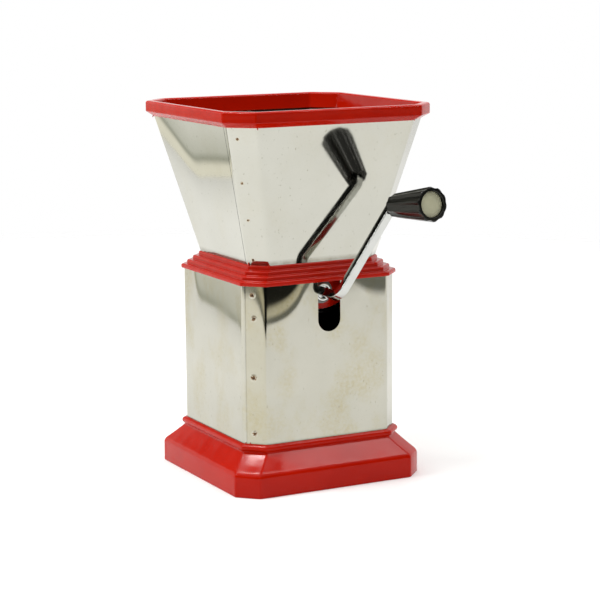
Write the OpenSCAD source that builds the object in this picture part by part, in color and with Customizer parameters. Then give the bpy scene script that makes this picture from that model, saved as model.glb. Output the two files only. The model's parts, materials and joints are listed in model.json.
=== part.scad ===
// Hand-cranked rotary vegetable cutter: a hopper over a bladed shaft, on a lift-off steel container.
// Millimetres, +Z up. The origin is the middle of the plinth's footprint, on the ground.
// The crank side, with the slot, faces -Y.

/* [Container] */
// Outer width of the square steel container
container_w = 120; // [108:1:136]
// Height of the container's sheet above its seat in the base
container_h = 121; // [105:1:145]
// Thickness of the steel sheet
sheet_t = 0.6; // [0.5:0.05:0.8]
// Setback of each cut corner, as a share of half the width
corner_share = 0.21; // [0.17:0.01:0.24]
// Radius of the soft bends beside each cut corner
bend_r = 5; // [4:0.25:7]
// Width of the overlap behind the corner seam
lap_w = 7; // [5:0.5:9]
// Width of the slot that lets the crank lift out
slot_w = 17.5; // [13:0.5:20]
// How far the slot sits to the right of the shaft
slot_shift = 1.5; // [0:0.25:2]
// Distance from the shaft's axis down to the slot's bottom
slot_below = 27; // [18:0.5:34]

/* [Base] */
// How far the plinth stands out beyond the container
base_out = 13; // [11:0.5:20]
// Setback of each cut corner of the plinth
base_cut = 13; // [10:0.5:16]
// Height of the upright skirt
skirt_h = 16; // [12:0.5:22]
// Rise from the skirt to the top of the collar
collar_rise = 18; // [16:0.5:24]
// How far the container sits down inside the collar
collar_depth = 8; // [6:0.5:9]
// Radius of the bead round the collar
bead_r = 2.6; // [2.4:0.1:3.2]
// Wall of the plinth
base_wall = 2.4; // [2:0.1:3]
// Thickness of the stiffening ribs underneath
rib_t = 2; // [1.6:0.1:3]
// Depth of the stiffening ribs
rib_h = 5; // [3:0.5:6]

/* [Middle frame] */
// How far the lowest tier of the ring overhangs the container
ring_out = 1.6; // [1.4:0.1:3]
// Number of rounded tiers
tier_n = 4; // [3:1:5]
// Height of one tier
tier_h = 3.15; // [2.8:0.05:3.6]
// Step in from one tier to the next
tier_in = 3.45; // [3:0.05:3.6]
// How far the ring laps down over the container's top edge
ring_lip = 2.3; // [1.5:0.1:3]
// Wall of the cutter box under the ring
frame_wall = 4; // [3:0.25:5]
// Height of the raised boss round each bush
boss_h = 1.5; // [1:0.25:2]

/* [Hopper] */
// Height of the hopper's visible wall
hopper_h = 97; // [80:1:120]
// How far each hopper wall leans out over that height
hopper_spread = 25.5; // [18:0.5:30]
// Depth of the socket that holds the hopper's lower edge
socket_h = 5; // [4:0.5:6]

/* [Rim] */
// Height of the rim above the visible wall
rim_h = 11; // [10:0.5:14]
// How far the rim's band stands out beyond the visible wall's top
rim_out = 4.7; // [4.2:0.1:6]
// Height of the upright band
band_h = 7.6; // [6:0.1:8.4]
// Thickness of the rim's inner flange
flange_t = 2; // [1.6:0.1:2.6]

/* [Crank] */
// Width of the square steel bar
bar = 6; // [5:0.25:6.5]
// Distance of the shaft below the ring's lower edge
shaft_drop = 8.4; // [7.5:0.1:12]
// Distance of the knob from the shaft's axis
crank_r = 71.5; // [55:0.5:78]
// Angle of the crank from upright
crank_angle = 31; // [0:1:90]
// Distance from the container's front to the lower bend
crank_out = 16.5; // [15:0.5:24]
// How far the crank's arm leans outwards
arm_lean = 9.5; // [0:0.5:14]
// Tilt of the knob's axis away from the shaft
knob_tilt = 8; // [0:1:12]
// Radius of the lower bend
low_bend_r = 9; // [7:0.5:11]
// Radius of the bend at the knob
high_bend_r = 4.6; // [4:0.2:6]

/* [Knob] */
// Length of the knob
knob_l = 44; // [38:1:52]
// Diameter at the crank end
knob_d_in = 16.6; // [15:0.2:19]
// Diameter at the free end
knob_d_out = 23.8; // [22:0.2:27]
// Number of flutes
flute_n = 10; // [8:1:14]
// Depth of the flutes
flute_depth = 1; // [0.3:0.1:1.2]
// Diameter of the end cap
cap_d = 17.8; // [16.8:0.2:18.4]
// How far the end cap sits below the knob's end
cap_deep = 2; // [1:0.25:3]

/* [Cutter] */
// Number of blades
blade_n = 11; // [7:1:13]
// Thickness of a blade
blade_t = 1; // [0.8:0.1:1.5]
// Reach of a blade
blade_r = 28; // [24:0.5:31]
// Turn from one blade to the next
blade_twist = 45; // [15:5:90]
// Side play of a blade in its comb slot
blade_play = 0.7; // [0.5:0.1:1]
// Thickness of the comb plates
comb_t = 1.2; // [1:0.1:2]
// Diameter of the spacers
spacer_d = 11; // [10:0.25:12]
// Diameter of the journals
journal_d = 11; // [10.6:0.1:11.6]
// Diameter of the front journal's collar
collar_d = 12.5; // [12.3:0.1:13.5]
// Outer diameter of the bushes
bush_d = 16.6; // [16:0.1:17.5]
// Diameter of the comb screws
screw_d = 3; // [2.5:0.1:3.4]
// Head diameter of the comb screws
screw_head_d = 5.4; // [5:0.1:6]
// Depth of the comb screws below the combs
screw_deep = 4; // [3:0.1:5]

/* [Fits] */
// Gap round each turning fit
run_gap = 0.05; // [0.03:0.01:0.08]
// Gap round each fixed fit
fit_gap = 0.05; // [0.02:0.01:0.08]
// Gap round pieces that lift off
seat_gap = 0.3; // [0.3:0.05:0.4]

/* [Hidden] */
$fn = 64;
bend_steps = 3;
round_steps = 4;

red = [0.80, 0.06, 0.07];
steel = [0.80, 0.80, 0.77];
bright = [0.88, 0.89, 0.90];
grey = [0.45, 0.45, 0.46];
black = [0.03, 0.03, 0.03];
ivory = [0.80, 0.79, 0.70];

// Heights, stacked from the ground up
collar_z = skirt_h + collar_rise;
floor_z = collar_z - collar_depth;
container_top = floor_z + container_h;
ring_z = container_top - ring_lip;
ring_top = ring_z + tier_n * tier_h;
socket_z = ring_top - socket_h;
rim_z = ring_top + hopper_h;
rim_top = rim_z + rim_h;
flange_z = rim_z - 1;
shaft_z = ring_z - shaft_drop;

// Half widths
container_half = container_w / 2;
base_half = container_half + base_out;
ring_half = container_half + ring_out;
top_tier_half = ring_half - (tier_n - 1) * tier_in;
hopper_half = top_tier_half - 0.85;
hopper_lean = hopper_spread / hopper_h;
sheet_span = sheet_t * sqrt(1 + hopper_lean * hopper_lean);
hopper_edge = rim_top - 3;
throat_half = hopper_half - hopper_lean * socket_h - sheet_span - 2.3;
box_half = throat_half + frame_wall;
boss_y = box_half + boss_h;
bush_out = boss_y + 0.5;
end_play = 0.2;
rear_end = bush_out + end_play;
front_end = rear_end + 2.4;
stack_half = throat_half - 0.3;

// Blades along the shaft
blade_pitch = (2 * stack_half - blade_t) / (blade_n + 0.5);
blade_y = [for (i = [0:blade_n - 1]) (i - (blade_n - 1) / 2) * blade_pitch];
spacer_from = [for (i = [0:blade_n]) i == 0 ? -stack_half : blade_y[i - 1] + blade_t / 2];
spacer_to = [for (i = [0:blade_n]) i == blade_n ? stack_half : blade_y[i] - blade_t / 2];
comb_tip = spacer_d / 2 + 2;
comb_end = throat_half - seat_gap;
ledge_in = throat_half - 6.5;
screw_x = throat_half - 3.4;
screw_y = [-1, 0, 1] * round(blade_n / 3) * blade_pitch;
slot_half = blade_t / 2 + blade_play;

// Crank path in its own plane: distance out from the middle, then distance from the axis
low_corner = [container_half + crank_out, 0];
high_corner = low_corner + [arm_lean, crank_r];
arm_angle = atan2(crank_r, arm_lean);
low_cut = low_bend_r * tan(arm_angle / 2);
high_turn = arm_angle - knob_tilt;
high_cut = high_bend_r * tan(high_turn / 2);
knob_from = high_cut + 0.3;
cap_t = 2;
rivet_room = 5;
knob_seat = knob_l - cap_deep - cap_t - rivet_room;
washer_t = 1.2;
thread_d = 5;
nut_h = 3;
pin_r = 1;
pin_y = (throat_half + bush_out) / 2;
bar_end = knob_from + knob_seat + end_play;
knob_bore = bar * sqrt(2) / 2 + run_gap;

// Setback of a cut corner for a given half width
function cut_for(half) = corner_share * half;

// Setback of a cut corner after moving all its sides in
function inset_cut(cut, inset) = cut - inset * (2 - sqrt(2));

function turn(p, a) = [p.x * cos(a) - p.y * sin(a), p.x * sin(a) + p.y * cos(a)];

// Centre of bend k, counted round an octagon from the +X side
function bend_centre(half, cut, r, k) =
  let (near = half - r, far = half - cut - r * tan(22.5))
  turn(k % 2 == 0 ? [near, far] : [far, near], floor(k / 2) * 90);

// Outline of an octagon with softly bent corners
function soft_octagon(half, cut, r) = [for (k = [0:7]) each bend_arc(half, cut, r, k, 0)];

// The same outline raised to a height
function ring_at(half, cut, r, z) = [for (p = soft_octagon(half, cut, r)) [p.x, p.y, z]];

// Arc of a profile, from one angle to another
function arc(centre, r, from, to, steps = round_steps) = [
  for (i = [0:steps])
    let (a = from + (to - from) * i / steps)
    centre + r * [cos(a), sin(a)]
];

// One bend of an octagon's outline, a depth inside its outer face
function bend_arc(half, cut, r, k, depth) =
  arc(bend_centre(half, cut, r, k), r - depth, 45 * k, 45 * (k + 1), bend_steps);

function reverse(list) = [for (i = [len(list) - 1:-1:0]) list[i]];

// Outer and inner faces, in section, of one sheet bent round an octagon. They start at the seam beside
// the front left corner, go all the way round, and end in a tongue that laps behind that corner.
function sheet_faces(half, cut, t) =
  let (
    centre = bend_centre(half, cut, bend_r, 4),
    seam = centre.y + 1.5,
    tongue = t + 0.05,
    face = function (depth, joggle) concat(
      [[depth - half, seam]],
      [for (k = [4:11]) each bend_arc(half, cut, bend_r, k % 8, depth)],
      [[depth - half, seam + joggle[0]], [depth + tongue - half, seam + joggle[1]]],
      bend_arc(half, cut, bend_r, 4, depth + tongue),
      [
        centre + (bend_r - depth - tongue) * [cos(225), sin(225)]
          + lap_w * [cos(315), sin(315)]
      ]
    )
  )
  [face(0, [0.3, 0.3]), face(t, [5, 3])];

// Half width of the hopper's outer face at a height
function hopper_at(z) = hopper_half + hopper_lean * (z - ring_top);

// Solid skinned through rings, closed at both ends
module loft(rings) {
  n = len(rings[0]);
  last = (len(rings) - 1) * n;
  polyhedron(
    points = [for (ring = rings) each ring],
    faces = concat(
      [[for (i = [0:n - 1]) i]],
      [
        for (k = [0:n:last - n], i = [0:n - 1])
          [k + i, k + n + i, k + n + (i + 1) % n, k + (i + 1) % n]
      ],
      [[for (i = [n - 1:-1:0]) last + i]]
    )
  );
}

// Hollow solid skinned through a closed loop of rings: up the outside, then down the inside
module tube_loft(rings) {
  n = len(rings[0]);
  total = len(rings) * n;
  polyhedron(
    points = [for (ring = rings) each ring],
    faces = [
      for (k = [0:n:total - n], i = [0:n - 1])
        [k + i, (k + n) % total + i, (k + n) % total + (i + 1) % n, k + (i + 1) % n]
    ]
  );
}

// Strip of sheet skinned through three levels, each an outer and an inner face in section. Its last
// columns end at the middle level, and the others go on to the top.
module strip_loft(levels, short) {
  n = len(levels[0][0]);
  full = n - 1;
  kept = full - short;
  at = function (level, side, i) level * 2 * n + side * (level == 2 ? kept + 1 : n) + i;
  walls = function (level, end) [
    for (i = [0:end - 1])
      each [
        [at(level, 0, i), at(level + 1, 0, i), at(level + 1, 0, i + 1), at(level, 0, i + 1)],
        [at(level, 1, i), at(level, 1, i + 1), at(level + 1, 1, i + 1), at(level + 1, 1, i)]
      ]
  ];
  cap = function (level, from, to) [
    for (i = [from:to - 1])
      [at(level, 1, i), at(level, 1, i + 1), at(level, 0, i + 1), at(level, 0, i)]
  ];
  edge = function (level, i)
    [at(level, 0, i), at(level + 1, 0, i), at(level + 1, 1, i), at(level, 1, i)];
  polyhedron(
    points = concat(
      [for (level = [0, 1], side = levels[level]) each side],
      [for (side = levels[2], i = [0:kept]) side[i]]
    ),
    faces = concat(
      walls(0, full),
      walls(1, kept),
      [for (quad = cap(0, 0, full)) reverse(quad)],
      cap(1, kept, full),
      cap(2, 0, kept),
      [reverse(edge(0, 0)), reverse(edge(1, 0)), edge(0, full), edge(1, kept)]
    )
  );
}

module prism(half, cut, r, from, to) {
  translate([0, 0, from])
    linear_extrude(to - from)
      polygon(soft_octagon(half, cut, r));
}

// Places children on the shaft's axis, with +Z pointing back along it
module on_shaft(y = 0) {
  translate([0, y, shaft_z])
    rotate([-90, 0, 0])
      children();
}

// The same, turned with the crank so that square holes line up with the bar
module keyed(y = 0) {
  on_shaft(y)
    rotate([0, 0, crank_angle])
      children();
}

// Turns children with the crank about the shaft's axis
module with_crank() {
  translate([0, 0, shaft_z])
    rotate([0, crank_angle, 0])
      children();
}

// Places children along the knob's axis, starting at the bend's corner
module on_knob() {
  with_crank()
    translate([0, -high_corner.x, high_corner.y])
      rotate([90 - knob_tilt, 0, 0])
        children();
}

module tube(d, bore, from, to) {
  translate([0, 0, from])
    difference() {
      cylinder(d = d, h = to - from);
      translate([0, 0, -1])
        cylinder(d = bore, h = to - from + 2);
    }
}

module square_hole(from, to) {
  side = bar + 2 * fit_gap;
  translate([0, 0, (from + to) / 2])
    cube([side, side, to - from + 2], center = true);
}

module base() {
  collar_half = container_half + fit_gap + bead_r + 0.1;
  bead = [collar_half - bead_r, collar_z - bead_r];
  cove_r = 1.1;
  cove_x = collar_half - 0.1;
  cove = [cove_x, bead.y - sqrt(pow(bead_r + cove_r, 2) - pow(cove_x - bead.x, 2))];
  meet = atan2(cove.y - bead.y, cove.x - bead.x);
  flare = atan2(base_half - cove.x + cove_r, cove.y - cove_r - skirt_h);
  edge_r = 2.4;
  edge = [base_half - edge_r, skirt_h - edge_r * tan(flare / 2)];
  profile = concat(
    [[base_half - 0.6, 0], [base_half, 0.6]],
    arc(edge, edge_r, 0, flare),
    arc(cove, cove_r, 180 + flare, 180 + meet),
    arc(bead, bead_r, meet, 90)
  );
  under_half = base_half - base_wall;
  under_z = skirt_h - base_wall * tan(flare / 2);
  roof_z = floor_z - base_wall;
  roof_half = under_half - (roof_z - under_z) * tan(flare);
  under_cut = inset_cut(base_cut, base_wall);
  color(red)
    difference() {
      loft([for (p = profile) ring_at(p.x, base_cut, 3, p.y)]);
      prism(
        container_half + fit_gap, cut_for(container_half), bend_r + fit_gap,
        floor_z, collar_z + 1
      );
      difference() {
        loft([
          ring_at(under_half, under_cut, 2, -1),
          ring_at(under_half, under_cut, 2, under_z),
          ring_at(roof_half, under_cut, 2, roof_z)
        ]);
        for (a = [0, 90], x = [-1, 1])
          rotate([0, 0, a])
            translate([x * container_half / 3 - rib_t / 2, -base_half, roof_z - rib_h])
              cube([rib_t, 2 * base_half, collar_z]);
      }
    }
}

module container_wall() {
  slot_r = slot_w / 2;
  faces = sheet_faces(container_half, cut_for(container_half), sheet_t);
  color(steel)
    difference() {
      translate([0, 0, floor_z])
        linear_extrude(container_h)
          polygon(concat(faces[0], reverse(faces[1])));
      // The crank's slot, open at the top
      translate([slot_shift, -container_half + bend_r, shaft_z - slot_below + slot_r])
        rotate([90, 0, 0]) {
          cylinder(r = slot_r, h = 2 * bend_r);
          translate([-slot_r, 0, 0])
            cube([slot_w, container_h, 2 * bend_r]);
        }
    }
}

module middle_frame() {
  edge_r = 1.3;
  tiers = [
    for (i = [0:tier_n - 1])
      let (half = ring_half - i * tier_in, z = ring_z + i * tier_h)
      each concat(
        [[half, z]],
        arc([half - edge_r, z + tier_h - edge_r], edge_r, 0, 90)
      )
  ];
  lobe_r = 33;
  lobe_below = bush_d / 2 + 4;
  ledge_top = shaft_z - comb_t / 2;
  ledge_h = screw_deep + 0.4;
  socket = function (z) hopper_at(z) + fit_gap;
  color(red)
    difference() {
      union() {
        difference() {
          loft([for (p = tiers) ring_at(p.x, cut_for(p.x), 2, p.y)]);
          // Recess that drops over the container's top edge
          prism(
            container_half + seat_gap, cut_for(container_half), bend_r + seat_gap,
            ring_z - 1, container_top
          );
          prism(throat_half, cut_for(throat_half), 3, container_top - 1, ring_top);
          loft([
            for (z = [socket_z, ring_top + 1])
              ring_at(socket(z), cut_for(hopper_at(z)), bend_r + fit_gap, z)
          ]);
        }
        // The cutter box, its bearing plates and its bosses
        difference() {
          union() {
            translate([-box_half, -box_half, ledge_top - ledge_h])
              cube([2 * box_half, 2 * box_half, container_top + 1 - ledge_top + ledge_h]);
            for (side = [-1, 1])
              translate([0, side * (box_half - frame_wall / 2), 0])
                rotate([90, 0, 0])
                  translate([0, 0, -frame_wall / 2])
                    linear_extrude(frame_wall)
                      intersection() {
                        translate([0, shaft_z - lobe_below + lobe_r])
                          circle(lobe_r);
                        translate([-lobe_r, shaft_z - lobe_below])
                          square([2 * lobe_r, container_top - shaft_z + lobe_below]);
                      }
            on_shaft(-boss_y)
              cylinder(d = bush_d + 4.2, h = 2 * boss_y);
          }
          translate([-throat_half, -throat_half, 0])
            cube([2 * throat_half, 2 * throat_half, rim_top]);
        }
        // Ledges that carry the combs
        for (side = [-1, 1])
          translate([side * (ledge_in + throat_half + 0.5) / 2, 0, ledge_top - ledge_h / 2])
            cube([throat_half + 0.5 - ledge_in, 2 * throat_half + 1, ledge_h], center = true);
      }
      on_shaft(-box_half - 5)
        cylinder(r = bush_d / 2 + fit_gap, h = 2 * box_half + 10);
      for (side = [-1, 1], y = screw_y)
        translate([side * screw_x, y, 0])
          cylinder(d = screw_d + 2 * fit_gap, h = ring_z);
    }
}

module hopper_wall() {
  // The tongue stops just below the rim's inner flange
  tongue_top = flange_z - seat_gap;
  tongue_n = bend_steps + 3;
  levels = [
    for (z = [socket_z, tongue_top, hopper_edge])
      let (half = hopper_at(z))
      [
        for (side = sheet_faces(half, cut_for(half), sheet_span))
          [for (p = side) [p.x, p.y, z]]
      ]
  ];
  color(steel)
    strip_loft(levels, tongue_n);
}

module hopper_rim() {
  lip_r = 1.6;
  band = hopper_at(rim_z) + rim_out;
  inside = function (z) hopper_at(z) - sheet_span - fit_gap;
  outside = function (z) hopper_at(z) + fit_gap;
  inner_top = inside(hopper_edge) - flange_t + lip_r;
  skin = function (p) ring_at(p.x, cut_for(p.x), 3, p.y);
  channel = function (half, z, depth)
    ring_at(half, inset_cut(cut_for(hopper_at(z)), depth), bend_r - depth, z);
  color(red)
    tube_loft(concat(
      [channel(outside(rim_z), rim_z, -fit_gap)],
      [for (p = arc([band - 1, rim_top - band_h + 0.6], 1, -45, 0)) skin(p)],
      [for (p = arc([band - lip_r, rim_top - lip_r], lip_r, 0, 90)) skin(p)],
      [for (p = arc([inner_top, rim_top - lip_r], lip_r, 90, 180)) skin(p)],
      [skin([inside(flange_z) - flange_t, flange_z])],
      [channel(inside(flange_z), flange_z, sheet_span + fit_gap)],
      [channel(inside(hopper_edge), hopper_edge, sheet_span + fit_gap)],
      [channel(outside(hopper_edge), hopper_edge, -fit_gap)]
    ));
}

// Flat plate on one side of the shaft, with a slot for each blade
module comb(side) {
  color(bright)
    translate([0, 0, shaft_z - comb_t / 2])
      linear_extrude(comb_t)
        difference() {
          translate([side > 0 ? comb_tip : -comb_end, -comb_end])
            square([comb_end - comb_tip, 2 * comb_end]);
          for (y = blade_y) {
            translate([side * (blade_r + 1.5 - slot_half), y])
              circle(slot_half, $fn = 24);
            translate([side * blade_r / 2 + side * 0.75 - side * slot_half / 2, y])
              square([blade_r + 1.5 - slot_half, 2 * slot_half], center = true);
          }
          for (y = screw_y)
            translate([side * screw_x, y])
              circle(d = screw_d + 4 * fit_gap);
        }
}

module left_comb() {
  comb(-1);
}

module right_comb() {
  comb(1);
}

module comb_screws() {
  head_h = screw_head_d / 3;
  slit = screw_head_d / 7;
  color(bright)
    for (side = [-1, 1], y = screw_y)
      translate([side * screw_x, y, shaft_z + comb_t / 2])
        difference() {
          union() {
            dome(screw_head_d / 2, head_h);
            translate([0, 0, -comb_t - screw_deep])
              cylinder(d = screw_d, h = comb_t + screw_deep + head_h / 4);
          }
          translate([-screw_head_d, -slit / 2, head_h / 2])
            cube([2 * screw_head_d, slit, head_h]);
        }
}

module bush() {
  color(grey)
    tube(bush_d, journal_d + 2 * run_gap, 0, bush_out - throat_half);
}

module front_bush() {
  on_shaft(-bush_out)
    bush();
}

module rear_bush() {
  on_shaft(throat_half)
    bush();
}

// Outline of the bent bar in the crank's plane: along its right side, then back along its left
function bar_outline() =
  let (
    w = bar / 2,
    low_centre = low_corner + [-low_cut, low_bend_r],
    high_start = high_corner - high_cut * [cos(arm_angle), sin(arm_angle)],
    high_centre = high_start + high_bend_r * [sin(arm_angle), -cos(arm_angle)],
    end = high_corner + bar_end * [cos(knob_tilt), sin(knob_tilt)],
    end_side = w * [-sin(knob_tilt), cos(knob_tilt)]
  )
  concat(
    [[-rear_end, -w]],
    arc(low_centre, low_bend_r + w, -90, arm_angle - 90, 12),
    arc(high_centre, high_bend_r - w, arm_angle + 90, knob_tilt + 90, 12),
    [end - end_side, end + end_side],
    arc(high_centre, high_bend_r + w, knob_tilt + 90, arm_angle + 90, 12),
    arc(low_centre, low_bend_r - w, arm_angle - 90, -90, 12),
    [[-rear_end, w]]
  );

// Domed head of a rivet or screw, flat side down
module dome(r, h) {
  ball = (r * r + h * h) / (2 * h);
  rotate_extrude($fn = 32)
    intersection() {
      translate([0, h - ball])
        circle(ball, $fn = 96);
      square([r, h]);
    }
}

module crank_rod() {
  spigot_d = 4;
  color(bright) {
    difference() {
      with_crank()
        rotate([90, 0, -90])
          linear_extrude(bar, center = true)
            polygon(bar_outline());
      with_crank()
        translate([0, -pin_y, -bar])
          cylinder(r = pin_r + fit_gap, h = 2 * bar, $fn = 32);
    }
    on_shaft(rear_end - 0.5)
      cylinder(d = thread_d, h = washer_t + nut_h + 1.1, $fn = 32);
    on_knob()
      translate([0, 0, bar_end - 0.5]) {
        cylinder(d = spigot_d, h = washer_t + 1, $fn = 32);
        translate([0, 0, washer_t + 0.5])
          dome(3.6, 2);
      }
  }
}

module front_journal() {
  color(bright)
    keyed(-front_end)
      difference() {
        union() {
          cylinder(d = journal_d, h = front_end - stack_half);
          cylinder(d = collar_d, h = front_end - rear_end);
        }
        square_hole(0, front_end - stack_half);
        translate([0, 0, -1])
          cylinder(d = collar_d - 3.6, h = front_end - rear_end + 0.8);
        translate([0, 0, front_end - pin_y])
          rotate([90, 0, 0])
            cylinder(r = pin_r + fit_gap, h = 2 * journal_d, center = true, $fn = 32);
      }
}

module rear_journal() {
  color(bright)
    keyed(stack_half)
      difference() {
        cylinder(d = journal_d, h = rear_end - stack_half);
        square_hole(0, rear_end - stack_half);
      }
}

module journal_pin() {
  color(grey)
    with_crank()
      translate([0, -pin_y, 0.2 - journal_d / 2])
        cylinder(r = pin_r, h = journal_d - 0.4, $fn = 32);
}

module rear_washer() {
  color(bright)
    on_shaft(rear_end)
      tube(bush_d, thread_d + 2 * fit_gap, 0, washer_t);
}

module rear_nut() {
  color(bright)
    on_shaft(rear_end + washer_t)
      difference() {
        intersection() {
          cylinder(d = 8 / cos(30), h = nut_h, $fn = 6);
          translate([0, 0, -1])
            cylinder(r1 = 7, r2 = 3.6, h = nut_h + 1, $fn = 48);
        }
        translate([0, 0, -1])
          cylinder(r = thread_d / 2 + fit_gap, h = nut_h + 2);
      }
}

// One swept-back arm: a crescent whose leading, outward-curving edge is ground to a bevel
module blade_arm() {
  back = [2, blade_r / 2];
  belly = [16, blade_r / 2];
  difference() {
    translate(back)
      cylinder(r1 = norm(back), r2 = norm(back) - 0.8 * blade_t, h = blade_t, $fn = 96);
    translate([belly.x, belly.y, -1])
      cylinder(r = norm(belly), h = blade_t + 2, $fn = 96);
  }
}

// Two arms on a hub, with a square hole that keys the blade to the shaft
module blade(i) {
  color(steel)
    keyed(blade_y[i - 1] - blade_t / 2)
      difference() {
        rotate([0, 0, i * blade_twist])
          union() {
            cylinder(d = spacer_d + 5, h = blade_t);
            for (a = [0, 180])
              rotate([0, 0, a])
                blade_arm();
          }
        square_hole(0, blade_t);
      }
}

module spacer(i) {
  length = spacer_to[i - 1] - spacer_from[i - 1];
  color(grey)
    keyed(spacer_from[i - 1])
      difference() {
        cylinder(d = spacer_d, h = length);
        square_hole(0, length);
      }
}

module knob_washer() {
  color(bright)
    on_knob()
      translate([0, 0, bar_end])
        tube(13, 4 + 2 * fit_gap, 0, washer_t);
}

module knob() {
  recess = knob_l - cap_deep - cap_t;
  round_r = 1.2;
  taper = atan2((knob_d_out - knob_d_in) / 2, knob_l);
  flute_r = 6;
  color(black)
    on_knob()
      translate([0, 0, knob_from])
        difference() {
          rotate_extrude($fn = 96)
            polygon(concat(
              [[0, 0]],
              arc([knob_d_in / 2 - round_r, round_r], round_r, -90, -taper),
              arc([knob_d_out / 2 - round_r, knob_l - round_r], round_r, -taper, 90),
              [[0, knob_l]]
            ));
          for (i = [0:flute_n - 1])
            rotate([0, 0, i * 360 / flute_n])
              translate([knob_d_in / 2 - flute_depth + flute_r, 0, 0])
                rotate([0, taper, 0])
                  translate([0, 0, -5])
                    cylinder(r = flute_r, h = knob_l + 10);
          translate([0, 0, -1])
            cylinder(r = knob_bore, h = knob_l);
          translate([0, 0, knob_seat])
            cylinder(d = 14, h = knob_l);
          translate([0, 0, recess])
            cylinder(r = cap_d / 2 + fit_gap, h = knob_l);
        }
}

module knob_cap() {
  color(ivory)
    on_knob()
      translate([0, 0, knob_from + knob_l - cap_deep - cap_t])
        union() {
          cylinder(d = cap_d, h = cap_t - 0.4);
          translate([0, 0, cap_t - 0.4])
            cylinder(d1 = cap_d, d2 = cap_d - 0.8, h = 0.4);
        }
}

base();
container_wall();
middle_frame();
hopper_wall();
hopper_rim();
left_comb();
right_comb();
comb_screws();
front_bush();
rear_bush();
crank_rod();
front_journal();
rear_journal();
journal_pin();
rear_washer();
rear_nut();
for (i = [1:blade_n])
  blade(i);
for (i = [1:blade_n + 1])
  spacer(i);
knob_washer();
knob();
knob_cap();
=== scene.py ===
# Rotary vegetable grater: its looks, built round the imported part, in metres
import json
import math
from functools import partial

import bmesh
import bpy
from mathutils import Matrix, Vector, noise


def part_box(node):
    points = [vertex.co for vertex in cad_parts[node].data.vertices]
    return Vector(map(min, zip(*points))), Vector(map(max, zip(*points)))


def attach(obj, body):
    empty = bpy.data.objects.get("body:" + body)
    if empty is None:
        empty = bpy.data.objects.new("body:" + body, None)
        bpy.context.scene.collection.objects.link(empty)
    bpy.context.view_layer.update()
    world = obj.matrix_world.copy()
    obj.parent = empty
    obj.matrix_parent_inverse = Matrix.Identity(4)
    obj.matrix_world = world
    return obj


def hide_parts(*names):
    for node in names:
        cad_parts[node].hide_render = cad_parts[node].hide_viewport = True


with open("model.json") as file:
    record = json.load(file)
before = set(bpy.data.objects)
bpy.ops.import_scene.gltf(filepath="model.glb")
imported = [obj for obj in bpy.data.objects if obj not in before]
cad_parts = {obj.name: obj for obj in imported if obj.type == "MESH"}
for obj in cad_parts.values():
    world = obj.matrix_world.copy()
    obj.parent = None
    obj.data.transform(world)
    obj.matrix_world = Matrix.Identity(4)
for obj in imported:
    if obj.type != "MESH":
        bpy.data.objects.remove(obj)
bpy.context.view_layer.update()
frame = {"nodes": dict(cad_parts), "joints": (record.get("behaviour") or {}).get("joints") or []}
scene = bpy.context.scene
mm = 0.001
slope = math.sqrt(0.5)  # share of a length that lies at 45 degrees
fit = 0.05 * mm  # play between pieces that sit in one another


# Reading the frame

def joint(name):
    return next(row for row in frame["joints"] if row["name"] == name)


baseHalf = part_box("base")[1].x
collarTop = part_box("base")[1].z
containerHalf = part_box("container_wall")[1].x
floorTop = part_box("container_wall")[0].z
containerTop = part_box("container_wall")[1].z
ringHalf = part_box("middle_frame")[1].x
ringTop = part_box("middle_frame")[1].z
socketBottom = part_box("hopper_wall")[0].z
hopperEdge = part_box("hopper_wall")[1].z
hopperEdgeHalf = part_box("hopper_wall")[1].x
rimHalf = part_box("hopper_rim")[1].x
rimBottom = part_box("hopper_rim")[0].z
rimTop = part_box("hopper_rim")[1].z
shaftPoint = Vector(joint("crank_turn")["pos_m"])
knobPoint = Vector(joint("knob_spin")["pos_m"])
knobAxis = Vector(joint("knob_spin")["axis"]).normalized()
crankAngle = math.atan2(knobPoint.x, knobPoint.z - shaftPoint.z)

# Sizes that the frame doesn't give
cornerShare = 0.21  # of the half width, cut off at each corner
sheet = 0.6 * mm
bendRadius = 5 * mm
hopperLean = 25.5 / 97  # outwards for each unit of height


# Mesh helpers

def arc(centre, radius, start, end, steps=8):
    angles = [math.radians(start + (end - start) * i / steps) for i in range(steps + 1)]
    return [(centre[0] + radius * math.cos(a), centre[1] + radius * math.sin(a)) for a in angles]


def between(first, last, count):
    (ax, ay), (bx, by) = first, last
    return [(ax + (bx - ax) * i / count, ay + (by - ay) * i / count) for i in range(1, count)]


# The eight bends of a square with cut corners are counted from the right side, anticlockwise
def bendCentre(half, cut, radius, index):
    near = half - radius
    far = half - cut - radius * math.tan(math.radians(22.5))
    x, y = (near, far) if index % 2 == 0 else (far, near)
    for turn in range(index // 2):
        x, y = -y, x
    return x, y


def bendArc(half, cut, radius, index, depth=0, steps=6):
    return arc(bendCentre(half, cut, radius, index), radius - depth, 45 * index, 45 * index + 45, steps)


def softOctagon(half, cut, radius, z):
    return [(x, y, z) for k in range(8) for x, y in bendArc(half, cut, radius, k)]


def insetCut(cut, inset):
    return cut - inset * (2 - math.sqrt(2))


def ringFaces(rows, columns, closedRows, closedColumns):
    faces = []
    for r in range(rows if closedRows else rows - 1):
        for c in range(columns if closedColumns else columns - 1):
            below, above = r * columns, (r + 1) % rows * columns
            after = (c + 1) % columns
            faces.append((below + c, below + after, above + after, above + c))
    return faces


def placeMesh(name, mesh, material, sharpAngle=32):
    mesh.shade_smooth()
    mesh.set_sharp_from_angle(angle=math.radians(sharpAngle))
    mesh.materials.clear()
    mesh.materials.append(material)
    made = bpy.data.objects.new(name, mesh)
    scene.collection.objects.link(made)
    return made


def placeWork(name, work, material, sharpAngle=32):
    mesh = bpy.data.meshes.new(name)
    work.to_mesh(mesh)
    work.free()
    return placeMesh(name, mesh, material, sharpAngle)


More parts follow.
